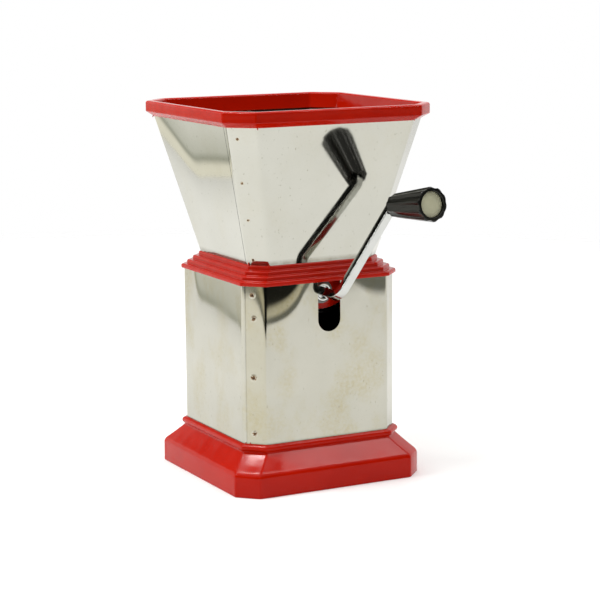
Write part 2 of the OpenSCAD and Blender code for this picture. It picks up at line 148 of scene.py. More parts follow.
def meshObject(name, points, faces, material, sharpAngle=32):
    rough = bpy.data.meshes.new(name)
    rough.from_pydata([tuple(p) for p in points], [], faces)
    work = bmesh.new()
    work.from_mesh(rough)
    bpy.data.meshes.remove(rough)
    bmesh.ops.remove_doubles(work, verts=work.verts, dist=0.0001 * mm)
    bmesh.ops.delete(work, geom=[e for e in work.edges if not e.link_faces], context="EDGES")
    bmesh.ops.recalc_face_normals(work, faces=work.faces)
    return placeWork(name, work, material, sharpAngle)


def tubeLoft(name, rings, material):
    points = [p for ring in rings for p in ring]
    return meshObject(name, points, ringFaces(len(rings), len(rings[0]), True, True), material)


# Turns a closed profile of (radius, height) round a line, counting angles from the given direction
def lathe(name, profile, origin, axis, material, across=None, steps=96, shape=None, sharpAngle=32):
    axis = Vector(axis).normalized()
    first = Vector(across) if across else axis.orthogonal()
    first = (first - axis * first.dot(axis)).normalized()
    second = axis.cross(first)
    points = []
    for radius, height in profile:
        for i in range(steps):
            angle = 2 * math.pi * i / steps
            size = shape(radius, height, angle) if shape else radius
            way = first * math.cos(angle) + second * math.sin(angle)
            points.append(origin + axis * height + size * way)
    faces = ringFaces(len(profile), steps, True, True)
    return meshObject(name, points, faces, material, sharpAngle)


# Box with softened edges between two corners
def softBox(name, low, high, material, soft=0.3 * mm):
    work = bmesh.new()
    bmesh.ops.create_cube(work, size=1)
    bmesh.ops.scale(work, vec=[b - a for a, b in zip(low, high)], verts=work.verts)
    bmesh.ops.translate(work, vec=[(a + b) / 2 for a, b in zip(low, high)], verts=work.verts)
    bmesh.ops.bevel(work, geom=work.edges, offset=soft, segments=2, affect="EDGES", profile=0.5)
    return placeWork(name, work, material)


def joinInto(name, pieces):
    with bpy.context.temp_override(active_object=pieces[0], selected_editable_objects=pieces):
        bpy.ops.object.join()
    pieces[0].name = name
    return pieces[0]


# Plain mesh from an object with its modifiers
def bake(source, name, material, sharpAngle=32):
    evaluated = source.evaluated_get(bpy.context.evaluated_depsgraph_get())
    mesh = bpy.data.meshes.new_from_object(evaluated)
    bpy.data.objects.remove(source)
    mesh.name = name
    return placeMesh(name, mesh, material, sharpAngle)


# Nodes and materials

def linear(hexCode):
    parts = [int(hexCode[i:i + 2], 16) / 255 for i in (1, 3, 5)]
    return [p / 12.92 if p <= 0.04045 else ((p + 0.055) / 1.055) ** 2.4 for p in parts] + [1]


# Adds a node with its settings. Inputs are values or the outputs that feed them, in the order of the live
# sockets or by name. Gives the first live output or the named one
def addNode(tree, kind, *inputs, sockets=None, give=None, **settings):
    node = tree.nodes.new(kind if "Node" in kind else "ShaderNode" + kind)
    for key, value in settings.items():
        setattr(node, key, value)
    feeds = list(zip([socket for socket in node.inputs if socket.enabled], inputs))
    feeds += [(node.inputs[key], value) for key, value in (sockets or {}).items()]
    for socket, value in feeds:
        if hasattr(value, "is_output"):
            tree.links.new(value, socket)
        else:
            socket.default_value = value
    return node.outputs[give] if give else next((out for out in node.outputs if out.enabled), None)


def startMaterial(name):
    material = bpy.data.materials.new(name)
    material.use_nodes = True
    material.node_tree.nodes.clear()
    add = partial(addNode, material.node_tree)
    return material, add, add("TexCoord", give="Object")


def endMaterial(material, add, sockets):
    add("OutputMaterial", add("BsdfPrincipled", sockets=sockets))
    return material


# Noise whose largest blotches are about size metres across
def blotches(add, place, size, detail=3, stretch=(1, 1, 1)):
    spread = add("Mapping", place, sockets={"Scale": stretch})
    return add("TexNoise", spread, sockets={"Scale": 1 / size, "Detail": detail, "Roughness": 0.55})


edgeFade = (0.98, 0.86)  # cosines of the angles where edge wear (on the cap, painted shade) starts and where it is full


# How far an edge is rubbed, and on the knob's cap how far its painted shade reaches, from the angle between
# the real and a rounded normal
def edgeWearAndShade(add, radius):
    softened = add("Bevel", radius, samples=4)
    plain = add("NewGeometry", give="Normal")
    cosine = add("VectorMath", softened, plain, operation="DOT_PRODUCT")
    return add("MapRange", cosine, *edgeFade, 0, 1)


def setCurve(curve, rows):
    points = curve.mapping.curves[0].points
    while len(points) < len(rows):
        points.new(0.5, 0.5)
    for point, row in zip(points, rows):
        point.location = row
    curve.mapping.update()


deepestFold = 80  # mm, more than any depth in the rows of folds


# Folds of a thin sheet below its top edge, where it leans in more and more. Each row has the way its face
# looks and where that fades at its bends, the way along it and its ends in mm, the sharpness of the fold,
# and its depths in mm along it
def buckles(add, place, height, top, rows):
    facing = add("TexCoord", give="Normal")
    below = add("Math", top, height, operation="SUBTRACT")
    total = 0
    for face, fade, way, (start, end), fold, depths in rows:
        along = add("VectorMath", place, way, operation="DOT_PRODUCT")
        along = add("MapRange", along, start * mm, end * mm, 0, 1)
        depth = add("FloatCurve", 1, along)
        setCurve(depth.node, [((at - start) / (end - start), deep / deepestFold) for at, deep in depths])
        depth = add("Math", depth, deepestFold * mm, operation="MULTIPLY")
        past = add("Math", depth, below, operation="SUBTRACT")
        past = add("Math", past, 0, operation="MAXIMUM")
        lean = add("Math", past, 2 * fold, operation="MULTIPLY")  # slope of a parabola
        shown = add("VectorMath", facing, face, operation="DOT_PRODUCT")
        shown = add("MapRange", shown, *fade, 0, 1)
        total = add("Math", lean, shown, total, operation="MULTIPLY_ADD")
    plain = add("NewGeometry", give="Normal")
    tilted = add("VectorMath", plain, add("CombineXYZ", 0, 0, total), operation="ADD")
    return add("VectorMath", tilted, operation="NORMALIZE")


# Marks on the sheets. Blotches have a size, a detail and a stretch, shares have a range of what they follow
# and how strong the mark is at its ends, and bumps a strength and a depth
sheetMarks = {
    "blotches": {
        "smear": (38 * mm, 4), "stain": (26 * mm, 5, (1, 1, 0.7)), "mottle": (2.4 * mm, 5),
        "fleck": (1.4 * mm, 2, (1, 1, 0.5)), "patch": (5 * mm, 4), "ripple": (60 * mm, 1),
        "line": (0.5 * mm, 2, (1, 1, 0.02)),  # polishing lines, coarser than real ones so that they show
    },
    "shares": {
        "mottle": (0.35, 0.65, 0.35, 1.2), "fleck": (0.68, 0.74, 0, 0.6), "patch": (0.3, 0.7, 0.5, 1),
        "strip": (0.93, 0.99, 0, 0.4), "pastSeam": (-0.1 * mm, 0.1 * mm, 0, 1),
        "brown": (0.3, 0.7, 0.6, 1), "seam": (0.45 * mm, 0.2 * mm, 0, 1.6),
    },
    # the last two shape the painted shade above a sheet's foot: the share of its height where it is full, and
    # its strength
    "stainFrom": (0.46, 0.68), "polishFrom": (0.35, 0.75), "footShadeFull": 0.3, "footShadeShare": 0.7,
    "bumps": {"ripple": (0.4, 0.12 * mm), "line": (0.2, 0.003 * mm)},
    "tones": {
        # the tone for the foot is painted shade and reflection of the moulding below
        "stain": "#A9A184", "fleck": "#7C7866", "grime": "#6A6254", "brown": "#A8A289", "seam": "#5E5A4A",
    },
}


# Mirror-polished stainless sheet with smears, stains, flecks, polishing lines, folds near its top and painted
# shade and reflection of the moulding just above its foot. Where it has a seam, the seam is dirty and the
# strip from there to the next bend browner
def stainlessSheet(name, look):
    material, add, place = startMaterial(name)
    marks, shares = sheetMarks, sheetMarks["shares"]
    height = add("SeparateXYZ", place, give="Z")
    noises = {key: blotches(add, place, *row) for key, row in marks["blotches"].items()}
    mottle, flecks, patches = (
        add("MapRange", noises[key], *shares[key]) for key in ("mottle", "fleck", "patch")
    )
    stains = add("MapRange", noises["stain"], *marks["stainFrom"], 0, look["stain"])
    # Painted shade: darker in patches just above the foot, standing for the shade and reflection of the
    # moulding there
    foot, reach = look["foot"], look["grime"]
    grime = add("MapRange", height, foot + marks["footShadeFull"] * reach, foot + reach, marks["footShadeShare"], 0)
    layers = {
        "stain": add("Math", stains, mottle, operation="MULTIPLY"),
        "fleck": flecks,
        "grime": add("Math", grime, patches, operation="MULTIPLY"),
    }
    if "seam" in look:
        facing = add("TexCoord", give="Normal")
        strip = add("VectorMath", facing, (-slope, -slope, 0), operation="DOT_PRODUCT")
        strip = add("MapRange", strip, *shares["strip"])
        past = add("VectorMath", place, (slope, -slope, 0), operation="DOT_PRODUCT")
        past = add("Math", past, look["seam"], operation="SUBTRACT")
        brown = add("Math", strip, add("MapRange", past, *shares["pastSeam"]), operation="MULTIPLY")
        uneven = add("MapRange", noises["smear"], *shares["brown"])
        dirt = add("MapRange", add("Math", past, operation="ABSOLUTE"), *shares["seam"])
        layers["brown"] = add("Math", brown, uneven, operation="MULTIPLY")
        layers["seam"] = add("Math", strip, dirt, operation="MULTIPLY")
    tint = add("Mix", noises["smear"], *map(linear, look["tones"]), data_type="RGBA")
    for key, share in layers.items():
        tint = add("Mix", share, tint, linear(marks["tones"][key]), data_type="RGBA")
    normal = buckles(add, place, height, look["top"], look["folds"])
    for key, bump in marks["bumps"].items():
        normal = add("Bump", *bump, sockets={"Height": noises[key], "Normal": normal})
    return endMaterial(material, add, {
        "Base Color": tint,
        "Metallic": 1,
        "Roughness": add("MapRange", noises["smear"], *marks["polishFrom"], *look["polish"]),
        "Normal": normal,
    })


# Glossy red moulded plastic with soft sink marks, a few pits and slightly paler worn edges
redLook = {
    "cloud": (24 * mm, 2), "tones": ("#B91802", "#A81102"), "edge": (0.5 * mm, "#CA220A"),
    "smear": (7 * mm, 4), "gloss": (0.35, 0.75, 0.1, 0.2), "specular": 0.14,
    "sink": (20 * mm, 1), "sinkBump": (0.7, 0.7 * mm),
    "pit": (2.6 * mm, 0), "pitShare": (0.77, 0.83, 0, -1), "pitBump": (0.4, 0.08 * mm),
}


def redPlastic(look):
    material, add, place = startMaterial("glossy_red_plastic")
    noises = {key: blotches(add, place, *look[key]) for key in ("cloud", "smear", "sink", "pit")}
    colour = add("Mix", noises["cloud"], *map(linear, look["tones"]), data_type="RGBA")
    radius, tone = look["edge"]
    sinks = add("Bump", *look["sinkBump"], sockets={"Height": noises["sink"]})
    pits = {"Height": add("MapRange", noises["pit"], *look["pitShare"]), "Normal": sinks}
    return endMaterial(material, add, {
        "Base Color": add("Mix", edgeWearAndShade(add, radius), colour, linear(tone), data_type="RGBA"),
        "Roughness": add("MapRange", noises["smear"], *look["gloss"]),
        "Specular IOR Level": look["specular"],
        "Normal": add("Bump", *look["pitBump"], sockets=pits),
    })


# Spot weld on the sheet: dark burnt middle, brown ring, then bare steel
weldLook = {
    "ragged": (0.7 * mm, 3), "raggedBy": (0.3, 0.7, -0.42, 0.42),
    "middle": "#2E1B0C", "rings": ((0.15, 0.45, "#8A6338"), (0.45, 0.7, "#B9B7A8")),
    "metallic": (0.3, 0.6, 0.3, 1), "gloss": (0.3, 0.8, 0.5, 0.2),
    "grain": (0.5 * mm, 2), "bump": (0.4, 0.04 * mm),
}


def weldSteel(look):
    material, add, place = startMaterial("spot_weld_steel")
    spread = add("Attribute", give="Fac", attribute_name="spread")
    uneven = add("MapRange", blotches(add, place, *look["ragged"]), *look["raggedBy"])
    reach = add("Math", spread, uneven, operation="ADD")
    tint = linear(look["middle"])
    for start, end, tone in look["rings"]:
        tint = add("Mix", add("MapRange", reach, start, end, 0, 1), tint, linear(tone), data_type="RGBA")
    return endMaterial(material, add, {
        "Base Color": tint,
        "Metallic": add("MapRange", reach, *look["metallic"]),
        "Roughness": add("MapRange", reach, *look["gloss"]),
        "Normal": add("Bump", *look["bump"], sockets={"Height": blotches(add, place, *look["grain"])}),
    })


# Handled surface: two tones in clouds, edges of another tone, and gloss that follows the clouds or the grain
def wornSurface(name, look):
    material, add, place = startMaterial(name)
    noises = {key: blotches(add, place, *look[key]) for key in ("cloud", "grain")}
    colour = add("Mix", noises["cloud"], *map(linear, look["tones"]), data_type="RGBA")
    radius, tone = look["edge"]
    return endMaterial(material, add, {
        **look["sockets"],
        "Base Color": add("Mix", edgeWearAndShade(add, radius), colour, linear(tone), data_type="RGBA"),
        "Roughness": add("MapRange", noises[look["glossBy"]], *look["gloss"]),
        "Normal": add("Bump", *look["bump"], sockets={"Height": noises["grain"]}),
    })


# Clouds and grain have the size of their blotches, a detail and a stretch, gloss has a range of the noise and
# the roughness at its ends, and bump a strength and a depth. Grain is coarser than real so that it shows
finishes = {
    # Bright plated steel of the bar, with fine drawing marks and edges rubbed bright
    "bright_plated_steel": {
        "cloud": (9 * mm, 3), "tones": ("#C8C9C5", "#B6B7B3"), "edge": (0.3 * mm, "#E6E6E2"),
        "glossBy": "cloud", "gloss": (0.35, 0.7, 0.07, 0.18),
        "grain": (0.8 * mm, 4), "bump": (0.3, 0.015 * mm), "sockets": {"Metallic": 1},
    },
    # Ground stainless of blades and combs, with fine grinding lines and bright edges
    "ground_stainless_steel": {
        "cloud": (12 * mm, 3), "tones": ("#C8C9C8", "#AEB0B0"), "edge": (0.25 * mm, "#E9E9E7"),
        "glossBy": "grain", "gloss": (0.3, 0.7, 0.2, 0.36),
        "grain": (0.35 * mm, 3, (0.06, 1, 1)), "bump": (0.35, 0.02 * mm), "sockets": {"Metallic": 1},
    },
    # Glossy black plastic of the knob, with handling scuffs and greyed ridges
    "glossy_black_plastic": {
        "cloud": (6 * mm, 3), "tones": ("#0D0D0B", "#141412"), "edge": (0.4 * mm, "#1F201D"),
        "glossBy": "cloud", "gloss": (0.35, 0.75, 0.17, 0.27),
        "grain": (1.5 * mm, 1), "bump": (0.2, 0.02 * mm), "sockets": {"Specular IOR Level": 0.3},
    },
    # Pale greyish plastic of the knob's end cap, with painted shade darkening it towards its edge
    "pale_cap_plastic": {
        "cloud": (6 * mm, 3), "tones": ("#BFBDA2", "#ADAB8F"), "edge": (0.8 * mm, "#8F8D76"),
        "glossBy": "cloud", "gloss": (0.3, 0.7, 0.3, 0.45), "grain": (0.7 * mm, 2), "bump": (0.3, 0.02 * mm),
        "sockets": {"Subsurface Weight": 0.08, "Subsurface Radius": (1.2 * mm, 0.9 * mm, 0.6 * mm)},
    },
    # Grey nylon of bushes and spacers, with polished edges
    "grey_nylon": {
        "cloud": (4 * mm, 4), "tones": ("#8C8C8A", "#74746F"), "edge": (0.4 * mm, "#A4A4A0"),
        "glossBy": "cloud", "gloss": (0.3, 0.7, 0.34, 0.5),
        "grain": (0.5 * mm, 2), "bump": (0.3, 0.02 * mm), "sockets": {},
    },
}
# each look gives the height of the painted shade above its foot
hopperLook = {
    "top": rimBottom, "foot": ringTop, "grime": 4 * mm,
    "tones": ("#BDBCB3", "#B1B0A6"), "stain": 0.14, "polish": (0.04, 0.1),
    "folds": [
        ((-0.967, 0, -0.254), (0.9, 0.95), (0, 1, 0), (-62, 62), 3.4,
         [(-62, 60), (-40, 61), (-10, 63), (6, 64), (13, 61), (33, 45), (55, 27), (62, 20)]),
    ],
}
bendEnd = bendArc(containerHalf, cornerShare * containerHalf, bendRadius, 4)[-1]
containerLook = {
    "top": containerTop, "foot": collarTop, "grime": 1.4 * mm,
    "seam": slope * (bendEnd[0] - bendEnd[1]) + 0.6 * mm,
    "tones": ("#B9B7AC", "#ABA99D"), "stain": 0.75, "polish": (0.05, 0.14),
    "folds": [
        ((0, -1, 0), (0.9, 0.95), (1, 0, 0), (-50, 50), 3,
         [(-50, 34), (-38, 32), (-26, 24), (-16, 8), (-9, 0), (50, 0)]),
        ((0, -1, 0), (0.9, 0.95), (1, 0, 0), (-50, 50), 1.2,
         [(-50, 0), (12, 0), (24, 9), (34, 16), (44, 19), (50, 18)]),
        ((-1, 0, 0), (0.968, 0.985), (0, 1, 0), (-50, 50), 2.2,
         [(-50, 54), (-35, 51), (-10, 44), (10, 41), (20, 39), (33, 5), (37, 0), (50, 0)]),
        ((-slope, -slope, 0), (0.9, 0.95), (slope, -slope, 0), (-9, 9), 1.4,
         [(-9, 14), (0, 17), (5, 30), (9, 58)]),
    ],
}
hopperSteel = stainlessSheet("polished_hopper_sheet", hopperLook)
containerSteel = stainlessSheet("polished_container_sheet", containerLook)
red = redPlastic(redLook)
weld = weldSteel(weldLook)
bright, ground, black, pale, nylon = (wornSurface(name, look) for name, look in finishes.items())
print("materials made")


# Plinth

plinth = {
    "cut": 13 * mm, "corner": 3 * mm, "foot": 0.8 * mm, "skirt": 16 * mm, "edge": 6 * mm, "bead": 2.6 * mm,
    "cove": 1.1 * mm, "coveIn": 0.1 * mm, "collar": 2.75 * mm, "sag": 0.1 * mm, "sagSteps": 8,
    "wall": 2.4 * mm, "underCorner": 2 * mm, "middle": 10 * mm, "rib": 2 * mm, "ribDepth": 5 * mm,
    "ribShort": 1.2 * mm,
}


def makePlinth():
    size = plinth
    wall, foot, steps = size["wall"], size["foot"], size["sagSteps"]
    collarHalf = containerHalf + size["collar"]
    bead = (collarHalf - size["bead"], collarTop - size["bead"])
    coveX = collarHalf - size["coveIn"]
    rise = math.sqrt((size["bead"] + size["cove"]) ** 2 - (coveX - bead[0]) ** 2)
    cove = (coveX, bead[1] - rise)
    meet = math.degrees(math.atan2(cove[1] - bead[1], cove[0] - bead[0]))
    lean = math.atan2(baseHalf - coveX + size["cove"], cove[1] - size["cove"] - size["skirt"])
    flare = math.degrees(lean)
    edge = (baseHalf - size["edge"], size["skirt"] - size["edge"] * math.tan(lean / 2))
    low, high = arc(edge, size["edge"], 0, flare), arc(cove, size["cove"], 180 + flare, 180 + meet)
    outside = [(baseHalf - foot, 0)] + arc((baseHalf - foot, foot), foot, -60, 0, 4) + low
    for i, (half, z) in enumerate(between(low[-1], high[0], steps), 1):
        sag = size["sag"] * math.sin(math.pi * i / steps)
        outside.append((half - sag * math.cos(lean), z - sag * math.sin(lean)))
    outside += high + arc(bead, size["bead"], meet, 90)
    rings = [softOctagon(half, size["cut"], size["corner"], z) for half, z in outside]
    seat = containerHalf + fit
    for half, z in ((seat, collarTop), (seat, floorTop), (size["middle"], floorTop), (0, floorTop)):
        rings.append(softOctagon(half, cornerShare * half, bendRadius * half / seat, z))
    underHalf = baseHalf - wall
    underTop = size["skirt"] - wall * math.tan(lean / 2)
    underCut = insetCut(size["cut"], wall)
    roof = floorTop - wall
    roofHalf = underHalf - (roof - underTop) * math.tan(lean)
    below = [(0, roof), (size["middle"], roof), (roofHalf, roof), (underHalf, underTop), (underHalf, 0)]
    for half, z in below:
        share = half / underHalf
        rings.append(softOctagon(half, underCut * share, size["underCorner"] * share, z))
    return tubeLoft("plinth_shell", rings, red), roof, roofHalf


# Stiffening ribs under the plinth's floor
def makePlinthRibs(roof, roofHalf):
    ribs = []
    reach, half, low = roofHalf - plinth["ribShort"], plinth["rib"] / 2, roof - plinth["ribDepth"]
    for spot in (-containerHalf / 3, containerHalf / 3):
        ribs.append(softBox("rib", (spot - half, -reach, low), (spot + half, reach, roof), red))
        ribs.append(softBox("rib", (-reach, spot - half, low), (reach, spot + half, roof), red))
    return ribs


shell, roof, roofHalf = makePlinth()
plinthPiece = joinInto("plinth", [shell] + makePlinthRibs(roof, roofHalf))
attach(plinthPiece, "container")
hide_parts("base")
print("plinth made")


# Sheet shells

lap = {
    "width": 7 * mm, "seam": 1.5 * mm, "past": 0.8 * mm, "gap": 0.42 * mm, "joggle": (5 * mm, 3 * mm),
    "hidden": 0.05 * mm,
}
sheetGrid = {"columns": 20, "rows": 44}
waves = {"across": 14, "up": 11, "start": 3.7}  # to the metre, and where their pattern starts
hopperSheet = {"wave": 0.12 * mm, "belly": 0.4 * mm, "tongueShort": 0.3 * mm}
containerSheet = {"wave": 0.3 * mm, "belly": 0}


# One face of the sheet in section, from the seam all round to the tongue that laps behind the corner.
# The hopper's seam lies before the corner's first bend, the container's after it
def sheetPath(half, depth, afterBend):
    def along(point, reach):
        return point[0] + reach * slope, point[1] - reach * slope

    cut = cornerShare * half
    gap, past, columns = lap["gap"], lap["past"], sheetGrid["columns"]
    tongue = depth + sheet + lap["hidden"]
    bends = [bendArc(half, cut, bendRadius, k % 8, depth) for k in range(4, 13)]
    hidden = bendArc(half, cut, bendRadius, 4, tongue)
    seam = bends[0][0][1] + lap["seam"]
    joggle = lap["joggle"] if depth else (gap, gap)
    path = [along(bends[0][-1], past)] if afterBend else [(depth - half, seam)] + bends[0]
    for bend in bends[1:8]:
        path += between(path[-1], bend[0], columns) + bend
    last = bends[8] + [along(bends[8][-1], gap)] if afterBend else [(depth - half, seam + joggle[0])]
    path += between(path[-1], last[0], columns) + last
    main = len(path)
    if not afterBend:
        path += [(tongue - half, seam + joggle[1])] + hidden
    return path + [along(hidden[-1], past + gap), along(hidden[-1], lap["width"])], main


# Gentle waviness of a thin sheet: none at its edges, a little in the middle of its panels.
# The front panel may have a belly as well
def sheetWave(x, y, z, half, height, size):
    across = min(abs(x), abs(y)) / (half * (1 - cornerShare))
    if across > 1:
        return 0
    fade = math.cos(math.pi / 2 * across) * math.sin(math.pi * height)
    spot = Vector((x * waves["across"], y * waves["across"], z * waves["up"] + waves["start"]))
    return fade * (size["wave"] * noise.noise(spot) + (size["belly"] if -y > abs(x) else 0))


def makeSheet(name, bottom, top, tongueTop, halfAt, span, size, material, afterBend):
    points = []
    rows = sheetGrid["rows"]
    steps = [i / rows for i in range(rows + 1)]
    for depth, order in ((0, steps), (sheet * span, steps[::-1])):
        low, main = sheetPath(halfAt(bottom), depth, afterBend)
        high = sheetPath(halfAt(top), depth, afterBend)[0]
        for step in order:
            for i, (a, b) in enumerate(zip(low, high)):
                t = step if i < main else step * (tongueTop - bottom) / (top - bottom)
                x, y, z = a[0] + (b[0] - a[0]) * t, a[1] + (b[1] - a[1]) * t, bottom + (top - bottom) * t
                push = sheetWave(x, y, z, halfAt(z), t, size)
                if abs(x) > abs(y):
                    x += math.copysign(push, x)
                else:
                    y += math.copysign(push, y)
                points.append((x, y, z))
    count, width = 2 * (rows + 1), len(low)
    faces = ringFaces(count, width, True, False)
    for edge in (0, width - 1):
        for r in range(rows):
            near, far = r * width + edge, (count - 1 - r) * width + edge
            faces.append((near, near + width, far - width, far))
    return meshObject(name, points, faces, material, sharpAngle=50)


def hopperHalf(z):
    return hopperEdgeHalf + hopperLean * (z - hopperEdge)


hopperSpan = math.sqrt(1 + hopperLean ** 2)
hopper = makeSheet("hopper_sheet", socketBottom, hopperEdge, rimBottom - hopperSheet["tongueShort"],
                   hopperHalf, hopperSpan, hopperSheet, hopperSteel, False)
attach(hopper, "upper")
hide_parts("hopper_wall")
print("hopper made")


# Container, with the crank's slot cut into its front

slot = {
    "width": 17.5 * mm, "below": 27 * mm, "shift": 1.5 * mm,
    "over": 5 * mm, "outside": 4 * mm, "inside": 6 * mm,
}


def slotCutter():
    radius, shift = slot["width"] / 2, slot["shift"]
    above = containerTop + slot["over"]
    low = shaftPoint.z - slot["below"] + radius
    outline = arc((shift, low), radius, 180, 360, 32) + [(shift + radius, above), (shift - radius, above)]
    count = len(outline)
    points = [(x, y - containerHalf, z) for y in (-slot["outside"], slot["inside"]) for x, z in outline]
    faces = [(i, (i + 1) % count, count + (i + 1) % count, count + i) for i in range(count)]
    faces += [tuple(range(count))[::-1], tuple(range(count, 2 * count))]
    return meshObject("slot_cutter", points, faces, containerSteel)


cutter = slotCutter()
box = makeSheet("container_plain", floorTop, containerTop, containerTop, lambda z: containerHalf, 1,
                containerSheet, containerSteel, True)
cut = box.modifiers.new("slot", "BOOLEAN")
cut.operation = "DIFFERENCE"
cut.solver = "EXACT"
cut.object = cutter
container = bake(box, "container_sheet", containerSteel, sharpAngle=50)
bpy.data.objects.remove(cutter)
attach(container, "container")
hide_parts("container_wall")
print("container made")


# Hopper rim

rim = {
    "band": 7.6 * mm, "corner": 3 * mm, "turn": 1 * mm, "turnUp": 0.6 * mm, "lip": 1.6 * mm, "flange": 2 * mm,
    "skirt": 1 * mm, "short": 0.9 * mm,
}


def makeRim():
    size = rim
    lip, flange, turn = size["lip"], size["flange"], size["turn"]
    thick = sheet * hopperSpan
    skirtTop, foot = rimBottom + size["skirt"], rimBottom + size["short"]

    def inside(z):
        return hopperHalf(z) - thick - fit

    def channel(half, z, depth):
        return softOctagon(half, insetCut(cornerShare * hopperHalf(z), depth), bendRadius - depth, z)

    skin = arc((rimHalf - turn, rimTop - size["band"] + size["turnUp"]), turn, -45, 0, 6)
    skin += arc((rimHalf - lip, rimTop - lip), lip, 0, 90)
    skin += arc((inside(hopperEdge) - flange + lip, rimTop - lip), lip, 90, 180)
    skin += [(inside(foot) - flange, foot)]
    rings = [channel(hopperHalf(skirtTop) + fit, skirtTop, -fit)]
    rings += [softOctagon(half, cornerShare * half, size["corner"], z) for half, z in skin]
    rings += [channel(inside(z), z, thick + fit) for z in (foot, hopperEdge)]
    rings += [channel(hopperHalf(hopperEdge) + fit, hopperEdge, -fit)]
    return tubeLoft("rim", rings, red)


rimPiece = makeRim()
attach(rimPiece, "upper")
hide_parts("hopper_rim")
print("rim made")


# Middle frame: the stepped ring, with the cutter box and its bearing plates below it

tiers = {
    "count": 4, "rise": 3.15 * mm, "step": 3.45 * mm, "edge": 1.3 * mm, "fillet": 0.5 * mm, "corner": 2 * mm,
    "gap": 0.3 * mm, "throatIn": 2.3 * mm, "throatCorner": 3 * mm,
}
cutterBox = {
    "wall": 4 * mm, "ledge": 6.5 * mm, "ledgeHeight": 4.4 * mm, "lobe": 33 * mm, "underBush": 4 * mm,
    "boss": 1.5 * mm, "bossEdge": 0.5 * mm, "bush": 8.3 * mm, "collar": 2.1 * mm, "comb": 1.2 * mm,
}
ringBottom = ringTop - tiers["count"] * tiers["rise"]
throatHalf = hopperHalf(socketBottom) - sheet * hopperSpan - tiers["throatIn"]
boxHalf = throatHalf + cutterBox["wall"]
ledgeTop = shaftPoint.z - cutterBox["comb"] / 2
ledgeBottom = ledgeTop - cutterBox["ledgeHeight"]


def makeRing():
    size = tiers
    rise, edge, fillet, gap = size["rise"], size["edge"], size["fillet"], size["gap"]
    outside = [(ringHalf - fillet, ringBottom)]
    for i in range(size["count"]):
        half, low = ringHalf - i * size["step"], ringBottom + i * rise
        if i == 0:
            outside += arc((half - fillet, low + fillet), fillet, -60, 0, 3)
        else:
            outside += [(half + fillet, low)] + arc((half + fillet, low + fillet), fillet, 240, 180, 3)
        outside += arc((half - edge, low + rise - edge), edge, 0, 90)
    rings = [softOctagon(half, cornerShare * half, size["corner"], z) for half, z in outside]
    for z in (ringTop, socketBottom):
        half = hopperHalf(z)
        rings.append(softOctagon(half + fit, cornerShare * half, bendRadius + fit, z))
    for z in (socketBottom, containerTop):
        rings.append(softOctagon(throatHalf, cornerShare * throatHalf, size["throatCorner"], z))
    for z in (containerTop, ringBottom):
        rings.append(softOctagon(containerHalf + gap, cornerShare * containerHalf, bendRadius + gap, z))
    return tubeLoft("ring", rings, red)


# Bearing plate with a rounded lobe below and a bore for the bush
def makePlate(side):
    size = cutterBox
    lobe, bore, out, soft = size["lobe"], size["bush"] + fit, size["boss"], size["bossEdge"]
    centre = shaftPoint.z - size["bush"] - size["underBush"] + lobe
    spread = math.degrees(math.acos((centre - ledgeBottom) / lobe))
    outline = [(boxHalf, ledgeBottom), (boxHalf, containerTop)]
    outline += [(-boxHalf, containerTop), (-boxHalf, ledgeBottom)]
    outline += arc((0, centre), lobe, 270 - spread, 270 + spread, 32)
    hole = arc((0, shaftPoint.z), bore, 360, 0, 64)[:-1]
    work = bmesh.new()
    for loop in (outline, hole):
        corners = [work.verts.new((x, side * throatHalf, z)) for x, z in loop]
        for a, b in zip(corners, corners[1:] + corners[:1]):
            work.edges.new((a, b))
    filled = bmesh.ops.triangle_fill(work, use_beauty=True, edges=work.edges)
    faces = [g for g in filled["geom"] if isinstance(g, bmesh.types.BMFace)]
    grown = bmesh.ops.extrude_face_region(work, geom=faces)["geom"]
    moved = [g for g in grown if isinstance(g, bmesh.types.BMVert)]
    bmesh.ops.translate(work, vec=(0, side * size["wall"], 0), verts=moved)
    bmesh.ops.recalc_face_normals(work, faces=work.faces)
    plate = placeWork("bearing_plate", work, red)
    collar = size["bush"] + size["collar"]
    profile = [(bore, 0), (collar, 0), (collar, out - soft)]
    profile += arc((collar - soft, out - soft), soft, 0, 90, 4) + [(bore, out)]
    start = Vector((0, side * boxHalf, shaftPoint.z))
    return [plate, lathe("boss", profile, start, (0, side, 0), red)]


def makeCutterBox():
    pieces = makePlate(-1) + makePlate(1)
    for side in (-1, 1):
        for name, near, far, top in (
            ("side_wall", throatHalf, boxHalf, containerTop),
            ("ledge", throatHalf - cutterBox["ledge"], throatHalf, ledgeTop),
        ):
            left, right = sorted((side * near, side * far))
            pieces.append(softBox(name, (left, -throatHalf, ledgeBottom), (right, throatHalf, top), red))
    return pieces


framePiece = joinInto("stepped_frame", [makeRing()] + makeCutterBox())
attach(framePiece, "upper")
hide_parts("middle_frame")
print("middle frame made")


# Node trees

def startTree(name, **sockets):
    tree = bpy.data.node_groups.new(name, "GeometryNodeTree")
    for key, kind in {"Geometry": "Geometry", **sockets}.items():
        tree.interface.new_socket(key, in_out="INPUT", socket_type="NodeSocket" + kind)
    tree.interface.new_socket("Geometry", in_out="OUTPUT", socket_type="NodeSocketGeometry")
    add = partial(addNode, tree)
    return tree, add, add("NodeGroupInput").node.outputs


def endTree(tree, add, geometry, material):
    whole = add("GeometryNodeRealizeInstances", geometry)
    add("NodeGroupOutput", add("GeometryNodeSetMaterial", whole, sockets={"Material": material}))
    return tree


# A copy of the shape on each point, turned the way that the point faces and of its own random size
def scatter(add, given, shape, sizes):
    facing = add("GeometryNodeInputNamedAttribute", "facing", data_type="FLOAT_VECTOR")
    turn = add("FunctionNodeAlignRotationToVector", sockets={"Vector": facing}, axis="Z")
    size = add("FunctionNodeRandomValue", *sizes, sockets={"Seed": given["Seed"]}, data_type="FLOAT")
    links = {"Instance": shape, "Rotation": turn, "Scale": size}
    return add("GeometryNodeInstanceOnPoints", given["Geometry"], sockets=links)


